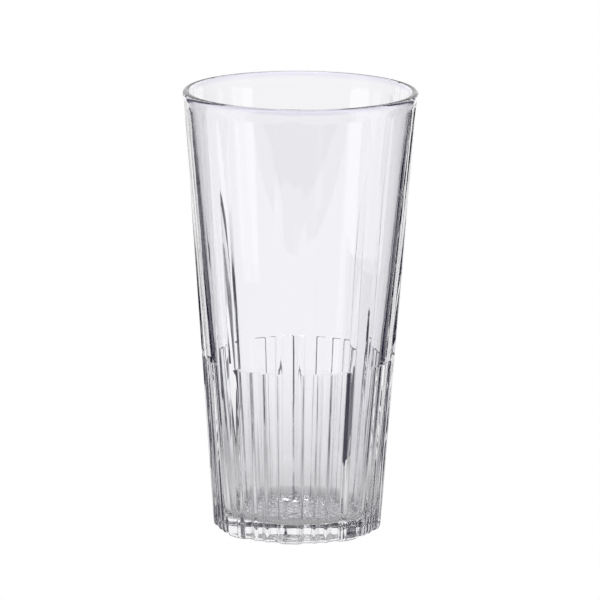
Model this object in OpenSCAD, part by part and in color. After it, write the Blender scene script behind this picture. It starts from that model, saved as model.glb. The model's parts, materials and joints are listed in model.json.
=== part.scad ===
// A pressed clear glass tumbler for long drinks. Eight pillars run from the
// foot to a rounded rim band. Between them lie tall plain windows, which end at
// a shoulder, and below the shoulder narrow ribs part each window into flutes.
// The glass stands on the XY plane, centred on Z, with one pillar facing -Y.

/* [Overall size] */
// Height of the glass
height = 143; // [120:1:165]
// Diameter over the rim
rim_d = 75.4; // [71:0.2:84]
// Diameter over the pillars where the glass stands
foot_d = 53.6; // [51:0.2:60]

/* [Rim] */
// Thickness of the wall at the rim
rim_wall = 2.4; // [2.2:0.1:3]
// Height of the rim band above the windows
rim_band_h = 3; // [2.6:0.1:5]
// How far the rim band stands out from the pillars
rim_bulge = 0.4; // [0.2:0.05:0.8]

/* [Inside] */
// Thickness of the floor over the table
floor_t = 5.6; // [4.6:0.1:9]
// Thickness of the wall at the floor, up to the pillars' faces
floor_wall = 4.8; // [4.3:0.1:7.8]
// Radius of the rounded corner between the floor and the wall
bore_corner_r = 3.6; // [2:0.2:6]
// Diameter of one dimple in the hammered floor
dimple_d = 5; // [3.6:0.1:5.2]
// Depth of one dimple
dimple_depth = 0.45; // [0.2:0.05:0.7]
// Rings of dimples round the one in the centre
dimple_rings = 3; // [0:1:3]

/* [Pillars] */
// Number of pillars round the glass
pillars = 8; // [6:1:10]
// Width of a pillar's face
pillar_w = 4.8; // [3.6:0.1:6]
// How much a pillar's sides slope away from straight in, in degrees
pillar_flank = 45; // [20:1:55]

/* [Windows] */
// Depth of a window below the pillars, under the rim band
window_depth_top = 0.35; // [0.2:0.05:0.5]
// Depth of a window below the pillars, at the shoulder
window_depth_low = 0.8; // [0.5:0.05:1]
// Height of the shoulder where the plain windows end
shoulder_h = 56.5; // [40:0.5:75]

/* [Fluted band] */
// Depth of the band below the pillars, at the shoulder
band_depth_top = 1.3; // [1.15:0.05:1.6]
// Depth of the band below the pillars, at the foot
band_depth_low = 1.6; // [1.2:0.05:1.8]
// Ribs in each window
ribs = 2; // [1:1:3]
// Width of a rib
rib_w = 1.1; // [0.9:0.1:1.6]
// Depth of a rib's crest below the pillars
rib_depth = 0.9; // [0.85:0.05:1.05]
// Radius of a flute's upper corners, where a rib runs into the shoulder
flute_corner_r = 1; // [0.5:0.1:1.5]

/* [Foot] */
// Rounding of the foot's outer edge
foot_round = 1.6; // [0.8:0.1:2.4]
// Width of the flat ring that the glass stands on
stand_ring = 3.6; // [2.1:0.1:8.6]
// Depth of the hollow under the foot
punt_depth = 1.2; // [0.5:0.1:2]

/* [Hidden] */
$fn = 96;

// Length by which cutting shapes and bars run past what they meet
overrun = 1;
// How deep the pillars and ribs are rooted in the wall
root = 0.5;
// Steps in which a quarter of a rounding is drawn, and of a flute's corner
round_steps = 5;
corner_steps = 3;

rim_r = rim_d/2;
foot_r = foot_d/2;
bore_r = foot_r - floor_wall;
punt_r = foot_r - band_depth_low - foot_round - stand_ring;
dimple_r = dimple_d/2;
bead_r = rim_wall/2;
bead_h = height - bead_r;
window_top = height - rim_band_h;
pillar_top_r = rim_r - rim_bulge;
// Height inside the rim band where the pillars end
pillar_end = height - rim_band_h/2;
// The pillars lean out by this angle from foot to rim band
lean = atan((pillar_top_r - foot_r)/window_top);
// The ledge of the shoulder rises at 45 degrees, from the band to the windows
ledge_top = shoulder_h + band_depth_top - window_depth_low;
pitch = 360/pillars;

// Radius of the pillars, the plain windows and the fluted band at a height
function pillar_r_at(z) = foot_r + (pillar_top_r - foot_r)*z/window_top;
function window_r_at(z) =
    pillar_r_at(z) - window_depth_low
    + (window_depth_low - window_depth_top)*(z - ledge_top)/(window_top - ledge_top);
function band_r_at(z) =
    pillar_r_at(z) - band_depth_low + (band_depth_low - band_depth_top)*z/shoulder_h;

// Radius of the ball that presses a hollow of a given radius and depth
function ball_r(hollow_r, depth) = (hollow_r*hollow_r + depth*depth)/(2*depth);

// Points of an arc about a centre, from one angle to another
function arc(centre, r, from, to, steps) =
    [for (i = [0:steps]) let (a = from + (to - from)*i/steps)
        [centre[0] + r*cos(a), centre[1] + r*sin(a)]];

// The foot's outer edge, rounded from the standing ring up to a wall
function foot_edge(wall_r) =
    arc([wall_r - foot_round, foot_round], foot_round, -90, -lean, round_steps);

// The hollow under the foot, from the axis out to the standing ring
function punt_arc() =
    let (r = ball_r(punt_r, punt_depth))
    arc([0, punt_depth - r], r, 90, 90 - asin(punt_r/r), round_steps);

// The inside of the cup, from the rim down to the floor: the wall is tangent to
// the rounded corner
function bore_points() =
    let (
        corner = [bore_r - bore_corner_r, floor_t + bore_corner_r],
        run = rim_r - rim_wall - corner[0],
        rise = bead_h - corner[1],
        bore_lean = atan(run/rise) - asin(bore_corner_r/norm([run, rise])))
    concat(arc(corner, bore_corner_r, -bore_lean, -90, round_steps), [[0, floor_t]]);

// The cup with its plain windows and its band, but no pillars or ribs yet
module wall_blank() {
    rotate_extrude()
        polygon(concat(
            punt_arc(),
            foot_edge(band_r_at(foot_round)),
            [[band_r_at(shoulder_h), shoulder_h]],
            [[window_r_at(ledge_top), ledge_top]],
            [[window_r_at(window_top), window_top]],
            arc([rim_r - bead_r, bead_h], bead_r, 0, 180, 2*round_steps),
            bore_points()));
}

// The layer in which the pillars and ribs lie, from their roots out to the
// pillars' faces
module relief_layer() {
    rotate_extrude()
        polygon(concat(
            [[band_r_at(0) - foot_round - root, 0]],
            foot_edge(pillar_r_at(foot_round)),
            [[pillar_r_at(pillar_end), pillar_end]],
            [[window_r_at(window_top) - root, pillar_end]],
            [[window_r_at(ledge_top) - root, ledge_top]],
            [[band_r_at(shoulder_h) - root, shoulder_h]],
            [[band_r_at(foot_round) - root, foot_round]]));
}

// One bar with a flat face and sloping sides, leaning out along the cup
module pillar_bar() {
    deep = band_depth_low + root;
    half_face = pillar_w/2;
    half_root = half_face + deep*tan(pillar_flank);
    translate([foot_r, 0, 0])
        rotate([0, lean, 0])
            translate([0, 0, -overrun])
                linear_extrude(height/cos(lean) + overrun)
                    polygon([
                        [-deep, -half_root],
                        [0, -half_face],
                        [root, -half_face],
                        [root, half_face],
                        [0, half_face],
                        [-deep, half_root]]);
}

// One rib: a round bar sunk in the band up to its crest, which lies parallel to
// the pillars. Where it runs into the shoulder it widens by a rounded corner on
// each side, so the flutes beside it have round-cornered tops.
module rib_bar() {
    r = rib_w/2;
    deep = band_depth_low + root - rib_depth;
    top = ledge_top/cos(lean);
    reach = r + flute_corner_r;
    corner = [reach, top - flute_corner_r];
    corner_arc = arc(corner, flute_corner_r, 180, 90, corner_steps);
    translate([foot_r - rib_depth, 0, 0])
        rotate([0, lean, 0]) {
            translate([-r, 0, -overrun])
                cylinder(h = top + overrun, r = r);
            // the outline lies in the plane of the rib's crest and runs inwards
            rotate([0, -90, 0])
                linear_extrude(deep)
                    polygon(concat(
                        [for (p = corner_arc) [p[1], p[0]]],
                        [[top + root, reach], [top + root, -reach]],
                        [for (i = [corner_steps:-1:0]) [corner_arc[i][1], -corner_arc[i][0]]]));
        }
}

// Pillars and ribs all round, one pillar facing -Y, the ribs evenly spaced
// between the pillars' roots
module relief() {
    root_angle = asin((pillar_w/2 + band_depth_low*tan(pillar_flank))/foot_r);
    rib_step = (pitch - 2*root_angle)/(ribs + 1);
    intersection() {
        relief_layer();
        for (i = [0:pillars - 1])
            rotate([0, 0, -90 + i*pitch]) {
                pillar_bar();
                for (j = [1:ribs])
                    rotate([0, 0, root_angle + j*rib_step]) rib_bar();
            }
    }
}

// Shallow dimples in rings over the flat part of the floor
module hammered_floor() {
    r = ball_r(dimple_r, dimple_depth);
    ring_step = (bore_r - bore_corner_r - dimple_r)/max(1, dimple_rings);
    for (k = [0:dimple_rings], i = [0:max(1, 6*k) - 1])
        rotate([0, 0, i*360/max(1, 6*k)])
            translate([k*ring_step, 0, floor_t - dimple_depth + r])
                sphere(r);
}

module tumbler() {
    color("lavender", 0.5)
        difference() {
            union() {
                wall_blank();
                relief();
            }
            hammered_floor();
        }
}

tumbler();
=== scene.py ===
# %% [markdown]
# # A pressed glass tumbler
# A tall drinking glass of clear pressed glass: eight pillars, tall plain windows
# between them, a shoulder, and a band of flutes under it. It is the measure for
# all that follows. The glass made here fills the same space, stands on the XY
# plane, and has one of its pillars facing -Y. Blender counts in metres and the
# drawing in millimetres, so every length is multiplied by MM once.

# %% Load the frame
import json
import math
import bpy
import numpy as np
from mathutils import Matrix, Vector

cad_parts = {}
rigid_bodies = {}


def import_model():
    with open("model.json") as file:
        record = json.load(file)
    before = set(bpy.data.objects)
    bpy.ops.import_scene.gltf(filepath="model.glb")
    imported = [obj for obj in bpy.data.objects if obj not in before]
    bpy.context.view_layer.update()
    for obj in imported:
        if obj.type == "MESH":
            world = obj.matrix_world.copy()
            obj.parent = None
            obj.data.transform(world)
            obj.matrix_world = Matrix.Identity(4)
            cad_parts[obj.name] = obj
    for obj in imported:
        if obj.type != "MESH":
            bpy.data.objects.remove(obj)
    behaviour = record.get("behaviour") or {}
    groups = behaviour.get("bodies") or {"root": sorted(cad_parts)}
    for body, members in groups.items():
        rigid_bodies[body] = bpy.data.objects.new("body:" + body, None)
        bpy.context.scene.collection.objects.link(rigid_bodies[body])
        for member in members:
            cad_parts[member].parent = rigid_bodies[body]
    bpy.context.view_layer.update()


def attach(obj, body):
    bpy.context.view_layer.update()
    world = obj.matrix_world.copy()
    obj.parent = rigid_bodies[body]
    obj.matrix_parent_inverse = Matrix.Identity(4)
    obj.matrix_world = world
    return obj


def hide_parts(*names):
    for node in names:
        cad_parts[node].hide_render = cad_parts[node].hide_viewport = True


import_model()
MM = 0.001

# %% [markdown]
# ## The camera
# A glass is photographed from far away with a long lens, so that it hardly
# narrows with distance. The camera looks down by eleven and a half degrees,
# which opens the rim to a slim oval, and it stands a little to the right of the
# front pillar. The picture leans by about half a degree, so the camera is
# rolled by as much. A camera could also be aimed by a constraint, but a matrix
# of a turn and a place says all of it in one line.

# %% Camera
MIDDLE = Vector((0, 0, 71.5 * MM))
FRAME_WIDTH = 192.7 * MM  # what the picture spans at the middle of the glass
AIM_OFF = Vector((0.39, 3.02, 0))  # mm right and up, from the glass's middle to the picture's
SENSOR = 36  # mm
camera_turn = math.radians(4.7)
camera_rise = math.radians(11.5)
camera_roll = math.radians(0.45)
camera_far = 2200 * MM
backwards = Vector((
    math.sin(camera_turn) * math.cos(camera_rise),
    -math.cos(camera_turn) * math.cos(camera_rise),
    math.sin(camera_rise)))
turn = backwards.to_track_quat("Z", "Y").to_matrix() @ Matrix.Rotation(camera_roll, 3, "Z")
aim = MIDDLE + turn @ AIM_OFF * MM
camera_data = bpy.data.cameras.new("camera")
camera_data.sensor_width = SENSOR
camera_data.lens = SENSOR * camera_far / FRAME_WIDTH
camera_data.clip_start = 0.1
camera_data.clip_end = 100
camera = bpy.data.objects.new("camera", camera_data)
camera.matrix_world = Matrix.Translation(aim + backwards * camera_far) @ turn.to_4x4()
bpy.context.scene.collection.objects.link(camera)
bpy.context.scene.camera = camera
bpy.context.view_layer.update()
print("lens in mm", round(camera_data.lens))

# %% [markdown]
# ## The table
# The glass stands on a white table that runs on without an edge. A material
# that glows evenly, instead of one that is lit, stays white in the picture and
# also lights the glass from below, as a lit acrylic table in a studio does. The
# table lies half a millimetre low, so that the glass's foot doesn't touch it.

# %% A glowing material and the table
WHITE = (1, 1, 1)
TABLE_R = 40  # metres, too far out for its edge to show
TABLE_LOW = 0.5  # mm


def glow(name, colour):
    """An evenly glowing material for tables and cards."""
    material = bpy.data.materials.new(name)
    material.use_nodes = True
    nodes = material.node_tree.nodes
    nodes.clear()
    out = nodes.new("ShaderNodeOutputMaterial")
    lamp = nodes.new("ShaderNodeEmission")
    lamp.inputs["Color"].default_value = (*colour, 1)
    material.node_tree.links.new(lamp.outputs["Emission"], out.inputs["Surface"])
    return material


bpy.ops.object.select_all(action="DESELECT")
bpy.ops.mesh.primitive_circle_add(
    vertices=64, radius=TABLE_R, fill_type="NGON", location=(0, 0, -TABLE_LOW * MM))
table = bpy.context.object
table.name = "table"
table.data.materials.append(glow("white_table", WHITE))
print("table, mm below the foot:", TABLE_LOW)

# %% [markdown]
# ## The studio
# Clear glass has no colour of its own. What it shows is its surroundings, bent
# and mirrored. So glass is lit with white and black cards: white behind it
# makes it bright, and dark cards at its sides draw the dark lines along its
# edges and ridges. A small bright card above puts sparks into the floor. All
# cards hang on the camera, so the glass is lit in the same way from whichever
# side it is looked at, as on a turntable, and only the white one behind can be
# seen by the camera. It is also the backdrop, and it reaches far under the
# table, so that no gap opens when the camera goes down. The room around is a
# dim cool grey, which gives the edges of the rim their trace of violet.

# %% World and cards
ROOM = (0.93, 0.91, 1, 1)
ROOM_STRENGTH = 0.25
VELVET = (0.012, 0.009, 0.03)  # a dark violet, as black cloth shows in cool light
SPARK = (4, 4, 4)
world = bpy.data.worlds.new("studio")
bpy.context.scene.world = world
world.use_nodes = True
room = world.node_tree.nodes["Background"]
room.inputs["Color"].default_value = ROOM
room.inputs["Strength"].default_value = ROOM_STRENGTH


def card(name, colour, width, height, place, azimuth, tilt=90):
    """A card of width x height mm at a place (right, away from the camera, up), turned about Z."""
    bpy.ops.object.select_all(action="DESELECT")
    bpy.ops.mesh.primitive_plane_add(size=1)
    piece = bpy.context.object
    piece.name = name
    piece.data.materials.append(glow(name, colour))
    piece.visible_camera = False
    piece.matrix_world = (
        Matrix.Rotation(camera_turn, 4, "Z") @ Matrix.Translation(Vector(place) * MM)
        @ Matrix.Rotation(math.radians(azimuth), 4, "Z") @ Matrix.Rotation(math.radians(tilt), 4, "X")
        @ Matrix.Diagonal((width * MM, height * MM, 1, 1)))
    standing = piece.matrix_world.copy()
    piece.parent = camera
    piece.matrix_parent_inverse = camera.matrix_world.inverted()
    piece.matrix_world = standing
    return piece


backdrop = card("white_back", WHITE, 2600, 2400, (0, 1600, 400), 0)
backdrop.visible_camera = True
card("dark_front", VELVET, 900, 300, (0, -300, 150), 0)
card("dark_left", VELVET, 110, 150, (-95, 55, 75), 90)
card("dark_right", VELVET, 110, 150, (95, 55, 75), 90)
card("low_right", VELVET, 150, 70, (80, 0, 35), 90)
card("top", SPARK, 160, 220, (0, 160, 600), 0, 0)
print("cards", [o.name for o in camera.children])

# %% [markdown]
# ## The shade on the table
# A glass takes away some of the light that would fall on the table round it,
# and its lower half bends and mirrors just that part of the table. Soft round
# shades stand for this: a wide one, a small one close under the foot, and two
# beside it, which draw the sides of the flutes as dark lines down to the foot.
# Each is a plane a little above the table, dark in its middle and fading to
# clear at its edge by a round gradient in the plane's own coordinates. These
# reach 0.5 at the edge, where the gradient needs 1, so they are doubled on the
# way. The shades don't hang on the camera: a flat plane would tip up through
# the glass when the camera rises.

# %% Shades
BLACK = (0, 0, 0)


def shade_material(name, darkness):
    """Black of a given strength in the middle of a unit plane, clear at its edge."""
    material = glow(name, BLACK)
    nodes = material.node_tree.nodes
    links = material.node_tree.links
    where = nodes.new("ShaderNodeTexCoord")
    double = nodes.new("ShaderNodeMapping")
    double.inputs["Scale"].default_value = (2, 2, 2)
    fade = nodes.new("ShaderNodeTexGradient")
    fade.gradient_type = "SPHERICAL"
    amount = nodes.new("ShaderNodeMath")
    amount.operation = "MULTIPLY"
    amount.use_clamp = True
    amount.inputs[1].default_value = darkness
    clear = nodes.new("ShaderNodeBsdfTransparent")
    mix = nodes.new("ShaderNodeMixShader")
    links.new(where.outputs["Object"], double.inputs["Vector"])
    links.new(double.outputs["Vector"], fade.inputs["Vector"])
    links.new(fade.outputs["Fac"], amount.inputs[0])
    links.new(amount.outputs[0], mix.inputs["Fac"])
    links.new(clear.outputs["BSDF"], mix.inputs[1])
    links.new(nodes["Emission"].outputs["Emission"], mix.inputs[2])
    links.new(mix.outputs["Shader"], nodes["Material Output"].inputs["Surface"])
    return material


def shade(name, darkness, width, place):
    """A round shade of a width in mm, at a place in mm on the table."""
    bpy.ops.object.select_all(action="DESELECT")
    bpy.ops.mesh.primitive_plane_add(size=1, location=Vector(place) * MM)
    piece = bpy.context.object
    piece.name = name
    piece.scale = (width * MM, width * MM, 1)
    piece.visible_camera = False
    piece.data.materials.append(shade_material(name, darkness))


shade("wide_shade", 0.37, 400, (0, 20, -0.3))
shade("right_shade", 0.95, 130, (85, 45, -0.25))
shade("left_shade", 0.7, 130, (-85, 45, -0.2))
shade("foot_shade", 0.85, 100, (0, 0, -0.15))

# %% [markdown]
# ## The sizes of the wall
# A tumbler is round, apart from its pressed pattern. The wall leans out evenly
# from the foot to the rim and ends in a rounded rim band. Inside, a thick floor
# meets the wall in a rounded corner, and under the foot a shallow hollow leaves
# only a ring to stand on. All sizes are the CAD model's. Two small functions
# give the outside of the wall at a height, so that the drawing and the pattern
# can't come apart.

# %% Sizes of the wall
HEIGHT = 143.0
FOOT_R = 26.8  # over the pillars, where the glass stands
RIM_R = 37.7
RIM_WALL = 2.4
WINDOW_TOP = 140.0
PILLAR_TOP_R = 37.3  # over the pillars, at the top of the windows
SHOULDER = 56.5  # the height at which the flutes end
FOOT_ROUND = 1.6
PUNT_R = 20.0  # radius and depth of the hollow under the foot
PUNT_DEPTH = 1.2
FLOOR_T = 5.6
BORE_R = 22.0  # of the inside, above the rounded corner
CORNER_R = 3.6
BEAD_R = RIM_WALL / 2
BEAD_Z = HEIGHT - BEAD_R
SWELL_FROM = 138.5  # the height where the wall starts to swell into the rim band
SWELL_OVER = 3.3


def smooth(x):
    """From 0 to 1 with a soft start and a soft end."""
    x = np.clip(x, 0, 1)
    return x * x * (3 - 2 * x)


def pillar_r(z):
    """Radius over the pillars at a height."""
    return FOOT_R + (PILLAR_TOP_R - FOOT_R) * z / WINDOW_TOP


def outer_r(z):
    """The wall over the pillars, which swells into the rim band near the top."""
    swell = RIM_R - pillar_r(BEAD_Z)
    return pillar_r(z) + swell * float(smooth((z - SWELL_FROM) / SWELL_OVER))


print("radius over the pillars at the shoulder in mm", round(outer_r(SHOULDER), 2))

# %% [markdown]
# ## A pen for the section
# Half of the section is drawn as a line, to be spun round the Z axis. A curve
# object could hold the line too, but a mesh keeps each point where it is
# wanted. The line starts as a small plane whose corners are merged to a single
# point. Extruding the point draws straight runs, and the spin operator, turning
# about an axis that points out of the drawing, draws true arcs. The pen
# remembers where the line has come to.

# %% The pen
pen = [0.0, PUNT_DEPTH]
bpy.ops.object.select_all(action="DESELECT")
bpy.ops.mesh.primitive_plane_add(size=1 * MM)
glass = bpy.context.object
glass.name = "tumbler_glass"
bpy.ops.object.mode_set(mode="EDIT")
bpy.ops.mesh.select_mode(type="VERT")
bpy.ops.mesh.select_all(action="SELECT")
bpy.ops.mesh.merge(type="CENTER")
bpy.ops.transform.translate(value=(pen[0] * MM, 0, pen[1] * MM))


def draw_to(x, z, steps=1):
    """A straight run from the pen's place."""
    step = ((x - pen[0]) / steps * MM, 0, (z - pen[1]) / steps * MM)
    for i in range(steps):
        bpy.ops.mesh.extrude_region_move(TRANSFORM_OT_translate={"value": step})
    pen[:] = [x, z]


def draw_arc(centre_x, centre_z, degrees, steps):
    """An arc from the pen's place about a centre, anticlockwise for positive degrees."""
    bpy.ops.mesh.spin(
        steps=steps, angle=math.radians(degrees), center=(centre_x * MM, 0, centre_z * MM), axis=(0, 1, 0))
    a = math.atan2(pen[1] - centre_z, pen[0] - centre_x) + math.radians(degrees)
    r = math.hypot(pen[0] - centre_x, pen[1] - centre_z)
    pen[:] = [centre_x + r * math.cos(a), centre_z + r * math.sin(a)]


print("the pen starts at", pen)

# %% [markdown]
# ## Draw the section
# The line runs from the middle of the hollow under the foot outwards, up the
# outside, over the rim, down the inside and along the floor to the middle. Its
# points become rows round the glass. They lie close where the pattern changes
# fast, at the shoulder and under the rim, and far apart on the plain wall. The
# hollow under the foot is part of a large ball, and the inside of the wall
# touches the rounded corner of the floor without a kink.

# %% Draw the section
PUNT_STEPS = 8
RING_STEPS = 4
FOOT_STEPS = 8
WALL_ROWS = ((52, 12), (58.5, 36), (134, 14), (BEAD_Z, 20))  # heights, and the rows up to each
BEAD_STEPS = 18
INSIDE_STEPS = 16
CORNER_STEPS = 10
FLOOR_STEPS = 34
lean = math.atan((PILLAR_TOP_R - FOOT_R) / WINDOW_TOP)
foot_centre = (pillar_r(FOOT_ROUND) - FOOT_ROUND, FOOT_ROUND)
ball = (PUNT_R ** 2 + PUNT_DEPTH ** 2) / (2 * PUNT_DEPTH)
draw_arc(0, PUNT_DEPTH - ball, -math.degrees(math.asin(PUNT_R / ball)), PUNT_STEPS)
draw_to(foot_centre[0], 0, RING_STEPS)
draw_arc(*foot_centre, 90 - math.degrees(lean), FOOT_STEPS)
start = pen[1]
for stop, rows in WALL_ROWS:
    for i in range(1, rows + 1):
        z = start + (stop - start) * i / rows
        draw_to(outer_r(z), z)
    start = stop
draw_arc(RIM_R - BEAD_R, BEAD_Z, 180, BEAD_STEPS)
corner = (BORE_R - CORNER_R, FLOOR_T + CORNER_R)
run = pen[0] - corner[0]
rise = pen[1] - corner[1]
bore_lean = math.atan(run / rise) - math.asin(CORNER_R / math.hypot(run, rise))
touch = (corner[0] + CORNER_R * math.cos(bore_lean), corner[1] - CORNER_R * math.sin(bore_lean))
draw_to(*touch, INSIDE_STEPS)
draw_arc(*corner, -90 + math.degrees(bore_lean), CORNER_STEPS)
draw_to(0, FLOOR_T, FLOOR_STEPS)
bpy.ops.object.mode_set(mode="OBJECT")
section = np.array([v.co for v in glass.data.vertices]) / MM
print("points of the section", len(section), "highest", round(float(section[:, 2].max()), 2))

# %% [markdown]
# ## Turn the section into a glass
# One full turn makes the whole glass, inside and outside in one skin, as the
# real one is a single piece of glass. The spin operator could do it too, but
# the Screw modifier makes the same mesh at once, even with many steps. 512
# steps give each of the eight pillars with its window 64 columns. The points
# on the axis fall together and are merged, and then all faces are turned to
# look outwards.

# %% Turn the section
COLUMNS = 512
SAME_POINT = 1e-6  # metres, points closer than this are merged
screw = glass.modifiers.new("turn", "SCREW")
screw.steps = COLUMNS
screw.render_steps = COLUMNS
screw.use_merge_vertices = True
screw.merge_threshold = SAME_POINT
bpy.ops.object.modifier_apply(modifier="turn")
bpy.ops.object.mode_set(mode="EDIT")
bpy.ops.mesh.select_all(action="SELECT")
bpy.ops.mesh.remove_doubles(threshold=SAME_POINT)
bpy.ops.mesh.normals_make_consistent(inside=False)
bpy.ops.object.mode_set(mode="OBJECT")
bpy.ops.object.shade_smooth()
print("points", len(glass.data.vertices), "faces", len(glass.data.polygons))

# %% [markdown]
# ## Which row and column a point belongs to
# The pattern gives every point its own depth, so it is pressed in with numbers
# and not with tools: the points are read in one go, moved and written back.
# First each point finds its row in the section, and its column round the glass.
# The wall is pressed from the standing ring up to the rim's half round, and the
# rows of the floor are kept for the dimples.

# %% Rows and columns
SAME_HEIGHT = 1e-3  # mm


def read_points():
    """All points of the glass, in mm."""
    flat = np.empty(len(glass.data.vertices) * 3, dtype=np.float32)
    glass.data.vertices.foreach_get("co", flat)
    return flat.reshape(-1, 3).astype(np.float64) / MM


def write_points(points):
    """Puts all points of the glass at their new places, given in mm."""
    glass.data.vertices.foreach_set("co", (points * MM).astype(np.float32).ravel())
    glass.data.update()


points = read_points()
point_r = np.hypot(points[:, 0], points[:, 1])
row = np.zeros(len(points), dtype=int)
nearest = np.full(len(points), np.inf)
for i, (r, _, z) in enumerate(section):
    gap = np.hypot(point_r - r, points[:, 2] - z)
    closer = gap < nearest
    row[closer] = i
    nearest[closer] = gap[closer]
column_turn = np.degrees(np.arctan2(points[:, 1], points[:, 0])) + 90
column = np.round(column_turn * COLUMNS / 360).astype(int) % COLUMNS
wall_from = PUNT_STEPS
wall_to = int(np.argmax(np.abs(section[:, 2] - BEAD_Z) < SAME_HEIGHT))
level = np.abs(section[:, 2] - FLOOR_T) < SAME_HEIGHT
level[:wall_to] = False
floor_from = int(np.argmax(level))
print("farthest point from its row", round(float(nearest.max()), 4))
print("rows of the wall", wall_from, wall_to, "rows of the floor", floor_from, len(section) - 1)

# %% [markdown]
# ## Slide the columns onto the pattern
# 64 even columns would miss the narrow edges of the pillars and ribs. A mould
# maker scribes lines where an edge will be. In the same way the columns are
# slid round the glass until some lie close together on each edge, and few are
# left on the plain window. The pattern's widths are in millimetres, so their
# angles grow towards the foot. Near the axis the columns keep the angles of
# SLIDE_R, or they would pass each other.

# %% Edges of the pattern
PILLARS = 8
SECTOR = 360 / PILLARS
PILLAR_FACE = 4.8  # mm, width of a pillar's face
EDGE = 0.25  # mm, rounding of the pillar's edges
ROOT_AT = 8.4  # degrees from a pillar's middle, where its side ends on the window
FLUTE_AT = 7.5  # degrees from a pillar's middle, where the first flute starts
RIB_AT = 4.35  # degrees from a window's middle
RIB_FACE = 0.7  # mm, width of a rib's crest
FLUTE_SIDE = 0.68  # mm over which a flute's side falls
BESIDE_ROOT = 1.4  # degrees of the window that also get close columns, beside a pillar
SPARE = 0.4  # degrees that the last edge keeps from a window's middle
SLIDE_R = 15.0  # mm
BETWEEN = [3, 4, 4, 3, 3, 3, 8, 4]  # columns between the edges of half a sector


def half_sector(r):
    """Angles of the columns at a radius, from a pillar's middle to a window's middle."""
    mm = math.degrees(1 / max(r, SLIDE_R))
    face = PILLAR_FACE / 2 * mm
    soft = EDGE * mm
    root = max(ROOT_AT, face + 3 * soft)
    rib = (RIB_FACE / 2 + FLUTE_SIDE) * mm
    middle = SECTOR / 2
    edges = [
        0, face - soft, face + soft, root - soft, root + soft, root + soft + BESIDE_ROOT,
        middle - RIB_AT - rib, min(middle - RIB_AT + rib, middle - SPARE), middle]
    angles = [0.0]
    for a, b, n in zip(edges, edges[1:], BETWEEN):
        angles += [a + (b - a) * i / n for i in range(1, n + 1)]
    return np.array(angles)


def columns_at(r):
    """Angles of all columns at a radius, from the front pillar round the glass."""
    half = half_sector(r)
    whole = np.concatenate([half[:-1], SECTOR - half[:0:-1]])
    return np.concatenate([whole + k * SECTOR for k in range(PILLARS)])


turned = np.zeros(len(points))
for i, (r, _, z) in enumerate(section):
    here = row == i
    turned[here] = columns_at(r)[column[here]]
print("first columns at the foot, in degrees", np.round(half_sector(FOOT_R)[:12], 2))

# %% [markdown]
# ## The pillars, the windows and the flutes
# In the real glass a mould leaves the pillars standing. Each has a flat face
# with quite crisp edges, and sides that slope gently down to the plain window.
# The windows are shallow, deeper at the shoulder than under the rim, and fade
# out where the rim band begins. Below the shoulder each window holds three
# flutes with rounded upper corners, and two narrow ribs between them. One
# function says how deep the mould goes at any place. It could be a painted
# height map, but a formula has no pixels and keeps the edges crisp.

# %% Depth of the pressing
DEPTH_TOP = 0.35  # mm, the windows under the rim band
DEPTH_LOW = 0.8  # mm, the windows at the shoulder and the band under it
FADE_END = WINDOW_TOP + 1.0  # the height at which the windows have faded out
FADE = 3.0
FLUTE_TOP = 0.6  # mm, how much deeper the flutes are at the shoulder, and at the foot
FLUTE_LOW = 0.8
FLUTE_CORNER = 1.2  # mm, radius of a flute's upper corners
FLUTE_SOFT = 0.3  # share of a flute's side by which both its ends are rounded
LEDGE = 0.35  # mm over which the shoulder falls


def above_zero(x, w):
    """The greater of x and 0, rounded over w to both sides."""
    return np.where(x < -w, 0.0, np.where(x > w, x, (x + w) ** 2 / (4 * w)))


def side(x, start, stop, w):
    """A straight fall from 0 to 1 between two places, with both its ends rounded."""
    return (above_zero(x - start, w) - above_zero(x - stop, w)) / (stop - start)


def into_flute(along, r, z):
    """How far inside a flute a place is, in mm along the wall, less than 0 outside it."""
    rib = math.radians(RIB_AT) * r
    from_middle = math.radians(SECTOR / 2) * r - along
    inner = rib - RIB_FACE / 2 - from_middle
    outer = np.minimum(from_middle - rib - RIB_FACE / 2, along - math.radians(FLUTE_AT) * r)
    inside = np.maximum(inner, outer)
    below = (SHOULDER - z) * FLUTE_SIDE / LEDGE
    a = inside - FLUTE_CORNER
    b = below - FLUTE_CORNER
    rounded = FLUTE_CORNER - np.hypot(a, b)
    return np.where((a < 0) & (b < 0), rounded, np.minimum(inside, below))


def pressed(degrees, r, z):
    """How deep the mould presses at an angle from the front pillar and at a height."""
    off = degrees % SECTOR
    off = np.minimum(off, SECTOR - off)
    along = np.radians(off) * r
    window = np.interp(z, [0, SHOULDER, WINDOW_TOP], [DEPTH_LOW, DEPTH_LOW, DEPTH_TOP])
    window = window * smooth((FADE_END - z) / FADE)
    depth = window * side(along, PILLAR_FACE / 2, math.radians(ROOT_AT) * r, EDGE)
    flute = np.interp(z, [0, SHOULDER], [FLUTE_LOW, FLUTE_TOP])
    return depth + flute * side(into_flute(along, r, z), 0, FLUTE_SIDE, FLUTE_SIDE * FLUTE_SOFT)


window_middle = np.array([SECTOR / 2])
for z in (10.0, 80.0, 130.0):
    depth = float(pressed(window_middle, pillar_r(z), z)[0])
    print("depth in a window's middle", z, "mm up:", round(depth, 2))

# %% [markdown]
# ## Press the wall
# Every row of the outside is moved inwards by the depth at its height. On the
# ring that the glass stands on, the pressing starts at nothing beside the
# hollow and is complete at the ring's outer edge, so that no fold forms there.

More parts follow.
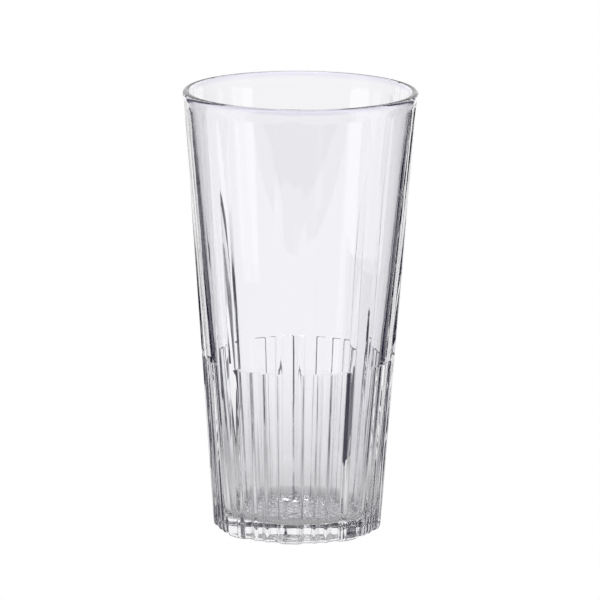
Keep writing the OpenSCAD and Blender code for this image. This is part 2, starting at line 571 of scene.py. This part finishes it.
# %% Press the wall
new_r = point_r.copy()
new_z = points[:, 2].copy()
for i in range(wall_from, wall_to):
    here = row == i
    r, _, z = section[i]
    if z < SAME_HEIGHT:
        share = min(1.0, (i - wall_from) / RING_STEPS)
        new_r[here] = r - share * pressed(turned[here], FOOT_R, 0.0)
    else:
        new_r[here] = r - pressed(turned[here], pillar_r(z), z)
print("deepest pressing in mm", round(float((point_r - new_r).max()), 2))

# %% [markdown]
# ## The hammered floor
# The floor inside the glass is beaten all over with shallow round dimples, in
# rings round one in the middle. They catch the light as small crescents. Balls
# could be cut from the floor one by one, but here too the points are simply
# moved. Each dimple is half a wave of a cosine, so neighbours meet in soft
# ridges.

# %% Dimples
DIMPLE_RINGS = 3
DIMPLE_STEP = 5.3  # mm from ring to ring
DIMPLE_R = 2.75
DIMPLE_DEPTH = 0.5


def dimpled(x, y):
    """How deep the floor is beaten at a place."""
    nearest_middle = np.full_like(x, np.inf)
    for ring in range(DIMPLE_RINGS + 1):
        count = max(1, 6 * ring)
        for i in range(count):
            a = 2 * math.pi * i / count
            gap = np.hypot(x - ring * DIMPLE_STEP * math.cos(a), y - ring * DIMPLE_STEP * math.sin(a))
            nearest_middle = np.minimum(nearest_middle, gap)
    wave = np.cos(np.clip(nearest_middle / DIMPLE_R, 0, 1) * math.pi / 2)
    return DIMPLE_DEPTH * wave ** 2


angle = np.radians(turned - 90)
x = new_r * np.cos(angle)
y = new_r * np.sin(angle)
on_floor = row >= floor_from
new_z[on_floor] -= dimpled(x[on_floor], y[on_floor])
write_points(np.stack([x, y, new_z], 1))
print("lowest place of the floor in mm", round(float(new_z[on_floor].min()), 2))

# %% [markdown]
# ## Clear glass
# The Principled shader with full transmission is clear glass. An index of
# refraction of 1.52 is that of soda-lime glass, which nearly all tumblers are
# made of. Pressed glass is never quite even, so a faint slow wave goes into the
# bump. It could be pressed into the mesh, but in the bump it is quick to try
# out and leaves the size as it is.

# %% Clear glass
clear = bpy.data.materials.new("clear_glass")
clear.use_nodes = True
nodes = clear.node_tree.nodes
links = clear.node_tree.links
shader = nodes["Principled BSDF"]
shader.inputs["IOR"].default_value = 1.52
shader.inputs["Transmission Weight"].default_value = 1.0
place = nodes.new("ShaderNodeTexCoord")
wave = nodes.new("ShaderNodeTexNoise")
wave.inputs["Scale"].default_value = 120
wave.inputs["Detail"].default_value = 1
bump = nodes.new("ShaderNodeBump")
bump.inputs["Strength"].default_value = 0.2
bump.inputs["Distance"].default_value = 0.1 * MM
links.new(place.outputs["Object"], wave.inputs["Vector"])
links.new(wave.outputs["Fac"], bump.inputs["Height"])
links.new(bump.outputs["Normal"], shader.inputs["Normal"])
glass.data.materials.append(clear)
print("materials of the glass", [m.name for m in glass.data.materials])

# %% [markdown]
# ## The tint
# A trace of violet in the colour gives the cool tint of the thick parts. Along
# the rim, light runs a long way inside the glass and comes out more coloured.
# Volume absorption would do this by itself, but slowly and with grain, so a
# second tint is mixed in by the height on the glass.

# %% Tint of the rim
CLEAR_TINT = (0.976, 0.976, 0.994, 1)
RIM_TINT = (0.88, 0.855, 0.97, 1)
TINT_FROM = 140.8  # mm, the height from which the rim's tint comes in, and where it is full
TINT_FULL = 142.2
axes = nodes.new("ShaderNodeSeparateXYZ")
near_rim = nodes.new("ShaderNodeMapRange")
near_rim.inputs["From Min"].default_value = TINT_FROM * MM
near_rim.inputs["From Max"].default_value = TINT_FULL * MM
tint = nodes.new("ShaderNodeMix")
tint.data_type = "RGBA"
tint.inputs["A"].default_value = CLEAR_TINT
tint.inputs["B"].default_value = RIM_TINT
links.new(place.outputs["Object"], axes.inputs["Vector"])
links.new(axes.outputs["Z"], near_rim.inputs["Value"])
links.new(near_rim.outputs["Result"], tint.inputs["Factor"])
links.new(tint.outputs["Result"], shader.inputs["Base Color"])
print("tint of the rim from", TINT_FROM, "mm to", TINT_FULL, "mm")

# %% [markdown]
# ## The scuffed ring
# The ring that a glass stands on is scuffed from use. Only the lowest 0.4 mm
# are rough, in fine irregular spots. A painted mask could place them, but the
# height on the glass finds the ring by itself.

# %% Scuffs
SCUFF_TOP = 0.4  # mm
SCUFF_ROUGHNESS = 0.3
spots = nodes.new("ShaderNodeTexNoise")
spots.inputs["Scale"].default_value = 1500
spots.inputs["Detail"].default_value = 3
low_down = nodes.new("ShaderNodeMapRange")
low_down.inputs["From Min"].default_value = SCUFF_TOP * MM
low_down.inputs["From Max"].default_value = 0.0
rough = nodes.new("ShaderNodeMath")
rough.operation = "MULTIPLY"
softer = nodes.new("ShaderNodeMath")
softer.operation = "MULTIPLY"
softer.inputs[1].default_value = SCUFF_ROUGHNESS
links.new(place.outputs["Object"], spots.inputs["Vector"])
links.new(axes.outputs["Z"], low_down.inputs["Value"])
links.new(low_down.outputs["Result"], rough.inputs[0])
links.new(spots.outputs["Fac"], rough.inputs[1])
links.new(rough.outputs[0], softer.inputs[0])
links.new(softer.outputs[0], shader.inputs["Roughness"])
print("nodes in the glass", len(nodes))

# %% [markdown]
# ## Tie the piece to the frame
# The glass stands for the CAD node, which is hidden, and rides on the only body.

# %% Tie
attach(glass, "root")
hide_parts("tumbler")
print("tied to the frame:", glass.name)

# %% [markdown]
# ## The look of the picture
# Light goes through four or more glass surfaces, so it needs many bounces. The
# standard view keeps the white of the table white.

# %% Look
scene = bpy.context.scene
scene.view_settings.view_transform = "Standard"
scene.cycles.max_bounces = 32
scene.cycles.transmission_bounces = 32
scene.cycles.glossy_bounces = 16
print("bounces", scene.cycles.max_bounces)
